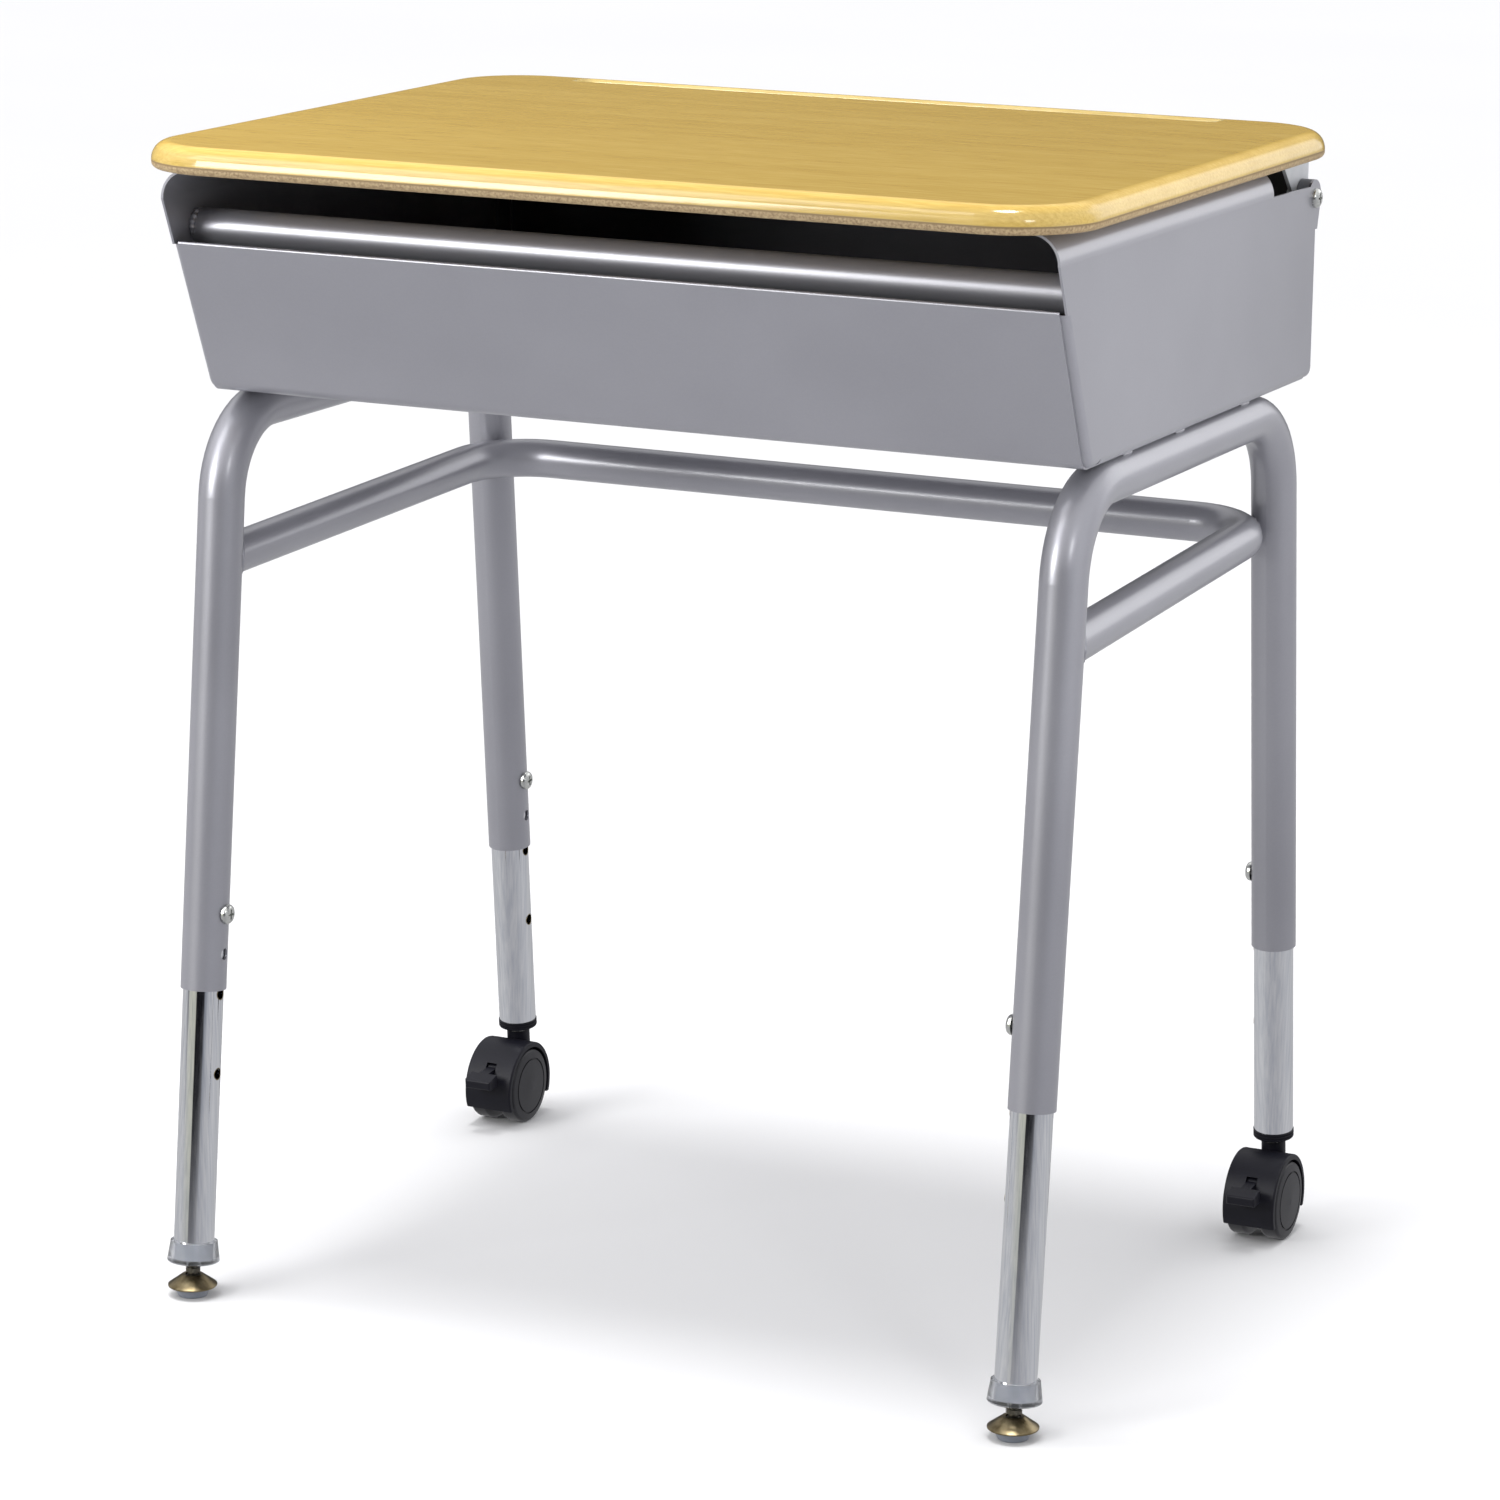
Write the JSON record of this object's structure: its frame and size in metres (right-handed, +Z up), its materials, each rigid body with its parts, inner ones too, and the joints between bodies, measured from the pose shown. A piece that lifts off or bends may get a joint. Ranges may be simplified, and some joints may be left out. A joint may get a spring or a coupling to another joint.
{
  "type": "school desk with lift lid",
  "caption": "Pupil desk with a hinged laminate lid over a sheet-steel book box, bent-tube side frames, telescoping chrome legs, tilting front glides and rear casters.",
  "frame": {"origin": "on the floor, at the middle of the desk's footprint", "axes": "+X to the user's right, +Y from the user's side to the hinge side, +Z up"},
  "size_m": [0.6096, 0.4796, 0.7249],
  "materials": {
    "maple_laminate": "satin",
    "silver_powder_coat": "satin",
    "zinc_plated_steel": "bright",
    "grey_painted_bracket": "satin",
    "grey_spacer_plastic": "matte",
    "chrome_plate": "polished",
    "clear_plastic": "gloss",
    "brass_plated_dish": "satin",
    "grey_pad_plastic": "matte",
    "black_nylon": "fine texture",
    "black_wheel_nylon": "fine texture"
  },
  "bodies": {
    "desk_frame": {"book_box_tray": "silver_powder_coat", "box_side_left": "silver_powder_coat", "box_side_right": "silver_powder_coat", "front_cross_tube": "silver_powder_coat", "side_frame_left": "silver_powder_coat", "side_frame_right": "silver_powder_coat", "u_brace": "silver_powder_coat", "pivot_screws": "zinc_plated_steel", "pivot_spacers": "grey_spacer_plastic", "pivot_nuts": "zinc_plated_steel", "height_screws": "zinc_plated_steel"},
    "lid": {"lid_top": "maple_laminate", "lid_bracket_left": "grey_painted_bracket", "lid_bracket_right": "grey_painted_bracket", "lid_bracket_screws": "zinc_plated_steel"},
    "leg_front_right": {"leg_insert_front_right": "chrome_plate", "glide_collar_right": "clear_plastic", "glide_stem_right": "zinc_plated_steel", "glide_nut_right": "zinc_plated_steel"},
    "glide_foot_right": {"glide_dish_right": "brass_plated_dish", "glide_pad_right": "grey_pad_plastic"},
    "leg_rear_right": {"leg_insert_rear_right": "chrome_plate", "caster_socket_right": "black_nylon"},
    "caster_right": {"caster_stem_right": "zinc_plated_steel", "caster_washer_right": "zinc_plated_steel", "caster_hood_right": "black_nylon", "caster_axle_right": "zinc_plated_steel"},
    "wheel_outer_right": {"caster_wheel_outer_right": "black_wheel_nylon"},
    "wheel_inner_right": {"caster_wheel_inner_right": "black_wheel_nylon"},
    "brake_right": {"caster_brake_right": "black_nylon"},
    "leg_front_left": {"leg_insert_front_left": "chrome_plate", "glide_collar_left": "clear_plastic", "glide_stem_left": "zinc_plated_steel", "glide_nut_left": "zinc_plated_steel"},
    "glide_foot_left": {"glide_dish_left": "brass_plated_dish", "glide_pad_left": "grey_pad_plastic"},
    "leg_rear_left": {"leg_insert_rear_left": "chrome_plate", "caster_socket_left": "black_nylon"},
    "caster_left": {"caster_stem_left": "zinc_plated_steel", "caster_washer_left": "zinc_plated_steel", "caster_hood_left": "black_nylon", "caster_axle_left": "zinc_plated_steel"},
    "wheel_outer_left": {"caster_wheel_outer_left": "black_wheel_nylon"},
    "wheel_inner_left": {"caster_wheel_inner_left": "black_wheel_nylon"},
    "brake_left": {"caster_brake_left": "black_nylon"}
  },
  "joints": [
    {"name": "lid_hinge", "type": "hinge", "parent": "desk_frame", "child": "lid", "pos_m": [0, 0.20698, 0.68079], "axis": [-1, 0, 0], "range_deg": [0, 85]},
    {"name": "leg_front_slide_right", "type": "slide", "parent": "desk_frame", "child": "leg_front_right", "axis": [0, 0.0941, 0.9956], "range_m": [-0.0254, 0.1016]},
    {"name": "leg_rear_slide_right", "type": "slide", "parent": "desk_frame", "child": "leg_rear_right", "axis": [0, -0.0941, 0.9956], "range_m": [-0.0254, 0.1016]},
    {"name": "glide_tilt_right", "type": "hinge", "parent": "leg_front_right", "child": "glide_foot_right", "pos_m": [0.27895, -0.2124, 0.009], "axis": [1, 0, 0], "range_deg": [-6, 6]},
    {"name": "caster_swivel_right", "type": "hinge", "parent": "leg_rear_right", "child": "caster_right", "pos_m": [0.27895, 0.22454, 0.0611], "axis": [0, -0.0941, 0.9956], "continuous": true},
    {"name": "wheel_roll_outer_right", "type": "hinge", "parent": "caster_right", "child": "wheel_outer_right", "pos_m": [0.27895, 0.20932, 0.0255], "axis": [1, 0, 0], "continuous": true},
    {"name": "wheel_roll_inner_right", "type": "hinge", "parent": "caster_right", "child": "wheel_inner_right", "pos_m": [0.27895, 0.20932, 0.0255], "axis": [1, 0, 0], "continuous": true},
    {"name": "brake_tip_right", "type": "hinge", "parent": "caster_right", "child": "brake_right", "pos_m": [0.27895, 0.1893, 0.04068], "axis": [1, 0, 0], "range_deg": [0, 20]},
    {"name": "leg_front_slide_left", "type": "slide", "parent": "desk_frame", "child": "leg_front_left", "axis": [0, 0.0941, 0.9956], "range_m": [-0.0254, 0.1016]},
    {"name": "leg_rear_slide_left", "type": "slide", "parent": "desk_frame", "child": "leg_rear_left", "axis": [0, -0.0941, 0.9956], "range_m": [-0.0254, 0.1016]},
    {"name": "glide_tilt_left", "type": "hinge", "parent": "leg_front_left", "child": "glide_foot_left", "pos_m": [-0.27895, -0.2124, 0.009], "axis": [1, 0, 0], "range_deg": [-6, 6]},
    {"name": "caster_swivel_left", "type": "hinge", "parent": "leg_rear_left", "child": "caster_left", "pos_m": [-0.27895, 0.22454, 0.0611], "axis": [0, -0.0941, 0.9956], "continuous": true},
    {"name": "wheel_roll_outer_left", "type": "hinge", "parent": "caster_left", "child": "wheel_outer_left", "pos_m": [-0.27895, 0.20932, 0.0255], "axis": [1, 0, 0], "continuous": true},
    {"name": "wheel_roll_inner_left", "type": "hinge", "parent": "caster_left", "child": "wheel_inner_left", "pos_m": [-0.27895, 0.20932, 0.0255], "axis": [1, 0, 0], "continuous": true},
    {"name": "brake_tip_left", "type": "hinge", "parent": "caster_left", "child": "brake_left", "pos_m": [-0.27895, 0.1893, 0.04068], "axis": [1, 0, 0], "range_deg": [0, 20]}
  ]
}
